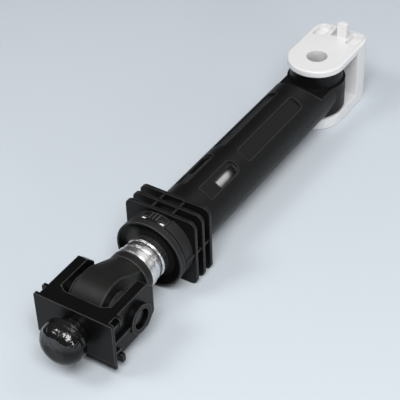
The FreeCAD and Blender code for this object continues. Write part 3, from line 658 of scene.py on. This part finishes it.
plug_low, plug_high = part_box("foot_plug")
plate, tip, head_radius = plug_high[0], plug_low[0], plug_high[2]
shoulder = plate - NECK_LENGTH
plug_outline = [
    (plate - SOCKET_DEPTH, 0.0),
    (plate - SOCKET_DEPTH, SOCKET_RADIUS),
    (plate, SOCKET_RADIUS),
    (plate, NECK_RADIUS),
    (shoulder, NECK_RADIUS),
    *arc_points(shoulder - BASE_ROUND, head_radius - BASE_ROUND, BASE_ROUND, -QUARTER, 0.0),
    *arc_points(tip + HEAD_ROUND, head_radius - HEAD_ROUND, HEAD_ROUND, 0.0, QUARTER),
    (tip, 0.0),
]
plug_mesh = turned_piece("crumpled_plug", plug_outline, RING_STEP, RING_POINTS)
print("the plug is turned from", len(plug_mesh.vertices) // RING_POINTS, "rings")

# %% [markdown]
# ## Creases
#
# Creases are pressed into the upper side of the plug's head. The absolute value of a smooth noise
# has a sharp ridge wherever the noise passes zero, as the folds of a thin skin have. Bump alone
# would leave the outline smooth, so the points themselves move. They only go inwards: the plug
# keeps its size and stands for the plain solid.

# %% Press the creases into the plug
CREASE_DEPTH = 0.7 * MM
CREASE_RISE = (-3 * MM, 7 * MM)
CREASE_START = (0.6 * MM, 2.5 * MM)
FOLDS = ((0.7, 210.0), (0.3, 480.0))
SAME_POINT = 0.001 * MM


def smooth_rise(value, start, end):
    """Run from 0 to 1 between two values, without a kink at either end."""
    share = min(max((value - start) / (end - start), 0.0), 1.0)
    return share * share * (3 - 2 * share)


def crease_depth(place, shoulder):
    """How deep the skin is pressed in at a place: folds on the upper side of the head alone."""
    share = smooth_rise(place.z, *CREASE_RISE) * smooth_rise(shoulder - place.x, *CREASE_START)
    folded = sum(part * abs(noise.noise(place * scale)) for part, scale in FOLDS)
    return CREASE_DEPTH * share * folded


skin = bmesh.new()
skin.from_mesh(plug_mesh)
bmesh.ops.remove_doubles(skin, verts=skin.verts, dist=SAME_POINT)
bmesh.ops.recalc_face_normals(skin, faces=skin.faces)
skin.normal_update()
pressed = [(vert, vert.normal * crease_depth(vert.co, shoulder)) for vert in skin.verts]
for vert, way in pressed:
    vert.co -= way
for face in skin.faces:
    face.smooth = True
skin.to_mesh(plug_mesh)
skin.free()

plug_mesh.materials.append(plug_rubber)
crumpled_plug = add_object("crumpled_plug", plug_mesh)
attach(crumpled_plug, "foot")
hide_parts("foot_plug")
deepest = max(way.length for vert, way in pressed)
print("the plug has", len(plug_mesh.polygons), "faces,",
      "creased up to", round(deepest / MM, 2), "mm")

# %% [markdown]
# ## Steel
#
# The rod is a drawn tube with a bright plating. Drawing leaves fine lines along it, and turning
# it in its guides leaves faint rings round it, so two noises are stretched in those two
# directions. A band over the part of it inside the housing is a little darker.
# The pin is a dark steel, whose lines run round its axis.

# %% Finishes for the rod and the pin
ROD_IN_HOUSING = (-184 * MM, 0.0)
FIRST_LINES = 0.6
CLOUD_SCALE = 150.0


def bright_steel(name, colours, gloss, line_stretches, relief):
    """A metal with fine lines in the directions of the given stretches."""
    material, tree, shader = plain_shader(name)
    lines = [noise_node(tree, object_places(tree, stretch), 1.0, detail=4.0)
             for stretch in line_stretches]
    marks = lines[0]
    for line in lines[1:]:
        marks = mixture(tree, marks, line, FIRST_LINES)
    clouds = noise_node(tree, object_places(tree), CLOUD_SCALE, detail=3.0)
    feed(tree, shader.inputs["Metallic"], 1.0)
    feed(tree, shader.inputs["Base Color"], colour_between(tree, clouds, *colours))
    feed(tree, shader.inputs["Roughness"], value_between(tree, marks, *gloss))
    add_bump(tree, shader, marks, relief, strength=0.3)
    return material


rod_plating = bright_steel("rod_plating", (grey(0.7), grey(0.78, 0.01)), (0.24, 0.34),
                           [(60, 2500, 2500), (2600, 120, 120)], 0.006 * MM)
band(rod_plating, ROD_IN_HOUSING, grey(0.55), 0.05, blend="DARKEN")
pin_steel = bright_steel("pin_steel", (grey(0.06, 0.01), grey(0.09, 0.01)), (0.22, 0.36),
                         [(900, 3000, 900)], 0.03 * MM)
dress(rod_plating, "rod_tube")
dress(pin_steel, "pivot_pin")
print("steel on two solids")

# %% [markdown]
# ## A tree for rows of ribs
#
# Small features that repeat are grown by Geometry Nodes, so that a row is changed by one number.
# The tree sets ribs on an arc about the damper's axis: points are counted out, each is carried to
# its angle, and a small block is placed on it with one side facing outwards. A little chance in
# the height keeps the row from looking drawn.

# %% Tree for a row of ribs
RIB_CHANCE = 0.2
COUNT = "NodeSocketInt"
MATERIAL = ("Material", "NodeSocketMaterial", None)
GEOMETRY = ("Geometry", "NodeSocketGeometry")


def end_tree(tree, made, geometry, material):
    """Turn instances into one real mesh, paint it and hand it out."""
    real = wired(tree, "GeometryNodeRealizeInstances", Geometry=geometry)
    painted = wired(tree, "GeometryNodeSetMaterial", Geometry=real.outputs["Geometry"],
                    Material=material)
    feed(tree, made["Geometry"], painted.outputs["Geometry"])


def vector_of(tree, **numbers):
    """A vector out of the numbers X, Y and Z, where one that is left out is 0."""
    return wired(tree, "ShaderNodeCombineXYZ", **numbers).outputs["Vector"]


rib_row, given, made = new_group("rib_row", [
    ("Count", COUNT, 10),
    ("Along", NUMBER, 0.0),
    ("Radius", NUMBER, 0.02),
    ("Start", NUMBER, 0.0),
    ("Step", NUMBER, 0.1),
    ("Rib Length", NUMBER, 2 * MM),
    ("Rib Width", NUMBER, 0.6 * MM),
    ("Rib Height", NUMBER, 0.2 * MM),
    ("Seed", COUNT, 1),
    MATERIAL,
], [GEOMETRY], kind="GeometryNodeTree")
number = rib_row.nodes.new("GeometryNodeInputIndex").outputs["Index"]
turned = math_node(rib_row, "MULTIPLY", number, given["Step"])
angle = math_node(rib_row, "ADD", turned, given["Start"])
outward = math_node(rib_row, "COSINE", angle)
sideways = math_node(rib_row, "MULTIPLY", math_node(rib_row, "SINE", angle), -1.0)
place = vector_of(rib_row, X=given["Along"],
                  Y=math_node(rib_row, "MULTIPLY", sideways, given["Radius"]),
                  Z=math_node(rib_row, "MULTIPLY", outward, given["Radius"]))
spots = wired(rib_row, "GeometryNodePoints", Count=given["Count"], Position=place)
block_size = vector_of(rib_row, X=given["Rib Length"], Y=given["Rib Width"],
                       Z=math_node(rib_row, "MULTIPLY", given["Rib Height"], 2.0))
block = wired(rib_row, "GeometryNodeMeshCube", Size=block_size)
chance = wired(rib_row, "FunctionNodeRandomValue", Seed=given["Seed"]).outputs["Value"]
extra = math_node(rib_row, "MULTIPLY", chance, RIB_CHANCE)
tallness = math_node(rib_row, "ADD", extra, 1 - RIB_CHANCE)
row = wired(rib_row, "GeometryNodeInstanceOnPoints", Points=spots.outputs["Geometry"],
            Instance=block.outputs["Mesh"], Rotation=vector_of(rib_row, X=angle),
            Scale=vector_of(rib_row, X=1.0, Y=1.0, Z=tallness))
end_tree(rib_row, made, row.outputs["Instances"], given["Material"])
print("tree:", rib_row.name)

# %% [markdown]
# ## A tree for the mould's seam
#
# The housing's mould opens in two halves, and a thin line stays where they met. It runs along
# both sides of the tube and round the eye. The tree joins two straight curves and an arc, and
# then bends a thin round line along them, which keeps its thickness whatever the path.

# %% Tree for a seam
ARC_POINTS = 64
THREAD_POINTS = 8

mould_seam, given, made = new_group("mould_seam", [
    ("Side", NUMBER, 17.5 * MM),
    ("Front", NUMBER, -0.15),
    ("Eye Radius", NUMBER, 18 * MM),
    ("Thickness", NUMBER, 0.1 * MM),
    MATERIAL,
], [GEOMETRY], kind="GeometryNodeTree")
share = math_node(mould_seam, "DIVIDE", given["Side"], given["Eye Radius"])
eye_angle = math_node(mould_seam, "SUBTRACT", math.pi, math_node(mould_seam, "ARCSINE", share))
eye_cosine = math_node(mould_seam, "COSINE", eye_angle)
eye_end = math_node(mould_seam, "MULTIPLY", eye_cosine, given["Eye Radius"])
arc = wired(mould_seam, "GeometryNodeCurveArc", Resolution=ARC_POINTS, Radius=given["Eye Radius"],
            Start_Angle=math_node(mould_seam, "MULTIPLY", eye_angle, -1.0),
            Sweep_Angle=math_node(mould_seam, "MULTIPLY", eye_angle, 2.0))
joined = wired(mould_seam, "GeometryNodeJoinGeometry", Geometry=arc.outputs["Curve"])
for side in (given["Side"], math_node(mould_seam, "MULTIPLY", given["Side"], -1.0)):
    line = wired(mould_seam, "GeometryNodeCurvePrimitiveLine",
                 Start=vector_of(mould_seam, X=given["Front"], Y=side),
                 End=vector_of(mould_seam, X=eye_end, Y=side))
    feed(mould_seam, joined.inputs["Geometry"], line.outputs["Curve"])
thread = wired(mould_seam, "GeometryNodeCurvePrimitiveCircle", Resolution=THREAD_POINTS,
               Radius=given["Thickness"])
seam_mesh = wired(mould_seam, "GeometryNodeCurveToMesh", Curve=joined.outputs["Geometry"],
                  Profile_Curve=thread.outputs["Curve"], Fill_Caps=True)
end_tree(mould_seam, made, seam_mesh.outputs["Mesh"], given["Material"])
print("tree:", mould_seam.name)

# %% [markdown]
# ## Ribs and the seam
#
# A tree runs on an empty mesh. Its result is copied into a plain mesh, so that the piece no
# longer depends on the tree, and the piece is told which body carries it. Three stiffening ribs
# lie between the lugs on each tongue of the cap, and crush ribs run along the plug's neck, which
# grip the hole in the base frame.

# %% Grow the ribs and the seam
TONGUE_STEP = math.radians(6)
TONGUE_MIDDLE = 3.0 * MM
NECK_RIBS = 26
NECK_MIDDLE = 2.8 * MM


def grow(name, tree, body, slot, **values):
    """Run a tree with the given inputs and keep the result as a plain mesh on a body."""
    piece = add_object(name, bpy.data.meshes.new(name))
    shape = piece.modifiers.new("shape", "NODES")
    shape.node_group = tree
    for entry in tree.interface.items_tree:
        if entry.in_out == "INPUT" and entry.name.replace(" ", "_") in values:
            shape[entry.identifier] = values[entry.name.replace(" ", "_")]
    grown = piece.evaluated_get(bpy.context.evaluated_depsgraph_get())
    plain = bpy.data.meshes.new_from_object(grown)
    piece.modifiers.remove(shape)
    piece.data = plain
    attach(piece, body)
    print(name, "has", len(plain.polygons), "faces")


cap_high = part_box("mouth_cap")[1]
for name, middle in (("tongue_ribs_top", 0.0), ("tongue_ribs_bottom", math.pi)):
    grow(name, rib_row, "housing", "mouth_cap", Material=cap_black, Count=3,
         Along=cap_high[0] - TONGUE_MIDDLE, Radius=cap_high[2], Start=middle - TONGUE_STEP,
         Step=TONGUE_STEP, Rib_Length=4.8 * MM, Rib_Width=0.7 * MM, Rib_Height=0.5 * MM, Seed=5)

grow("crush_ribs", rib_row, "foot", "foot_plug", Material=plug_rubber, Count=NECK_RIBS,
     Along=plate - NECK_MIDDLE, Radius=NECK_RADIUS, Start=0.0, Step=math.tau / NECK_RIBS,
     Rib_Length=5.0 * MM, Rib_Width=0.8 * MM, Rib_Height=0.5 * MM, Seed=7)
grow("mould_seam", mould_seam, "housing", "housing", Material=tube_black, Side=17.5 * MM,
     Front=-154 * MM, Eye_Radius=18.2 * MM, Thickness=0.1 * MM)
